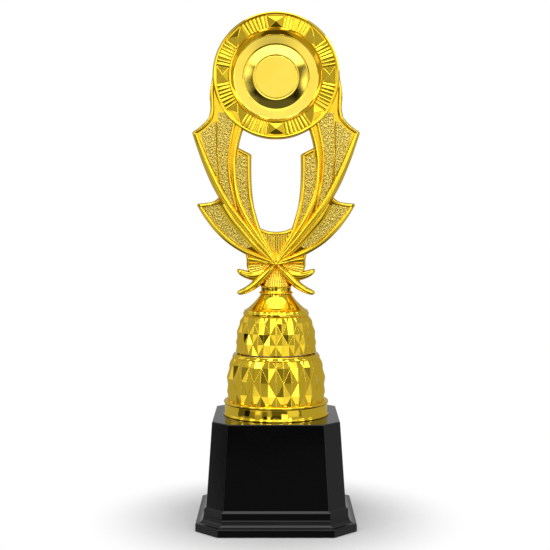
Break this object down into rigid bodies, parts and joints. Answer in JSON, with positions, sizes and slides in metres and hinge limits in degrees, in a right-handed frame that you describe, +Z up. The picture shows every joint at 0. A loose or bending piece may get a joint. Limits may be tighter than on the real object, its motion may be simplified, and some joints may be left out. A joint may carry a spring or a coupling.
{
  "type": "column trophy",
  "caption": "Gold plastic award: a winged frame holds a round medallion over a faceted domed column on a black square plinth, all clamped by a tie rod.",
  "frame": {"origin": "centre of the underside, on the plane of the foot pads", "axes": "+Z up along the tie rod, front of the medallion faces -Y, +X to the right seen from the front"},
  "size_m": [0.0998, 0.0916, 0.2993],
  "materials": {
    "black_plastic": "polished black moulding",
    "cover_plastic": "matt black moulding",
    "ballast_iron": "rough cast",
    "screw_steel": "zinc plated",
    "pad_rubber": "matt",
    "gold_plated_plastic": "vacuum metallised, mirror gold",
    "gold_emblem": "vacuum metallised, polished"
  },
  "bodies": {
    "base": {"pedestal_shell": "black_plastic", "bottom_cover": "cover_plastic", "ballast_weight": "ballast_iron", "cover_screws": "screw_steel", "foot_pads": "pad_rubber"},
    "column": {"column_lower_tier": "gold_plated_plastic", "column_upper_tier": "gold_plated_plastic", "column_cap": "gold_plated_plastic"},
    "figure": {"tie_rod": "screw_steel", "clamp_washer": "screw_steel", "spring_washer": "screw_steel", "clamp_nut": "screw_steel", "captive_nut": "screw_steel", "neck_collar": "gold_plated_plastic", "figure_front": "gold_plated_plastic", "figure_back": "gold_plated_plastic", "medallion_bezel": "gold_plated_plastic", "medallion_dish": "gold_plated_plastic", "emblem_disc": "gold_emblem", "medallion_back": "gold_plated_plastic"}
  },
  "joints": [
    {"name": "column_turn", "type": "hinge", "parent": "base", "child": "column", "pos_m": [0, 0, 0.0612], "axis": [0, 0, 1], "continuous": true},
    {"name": "figure_turn", "type": "hinge", "parent": "column", "child": "figure", "pos_m": [0, 0, 0.1323], "axis": [0, 0, 1], "continuous": true}
  ]
}
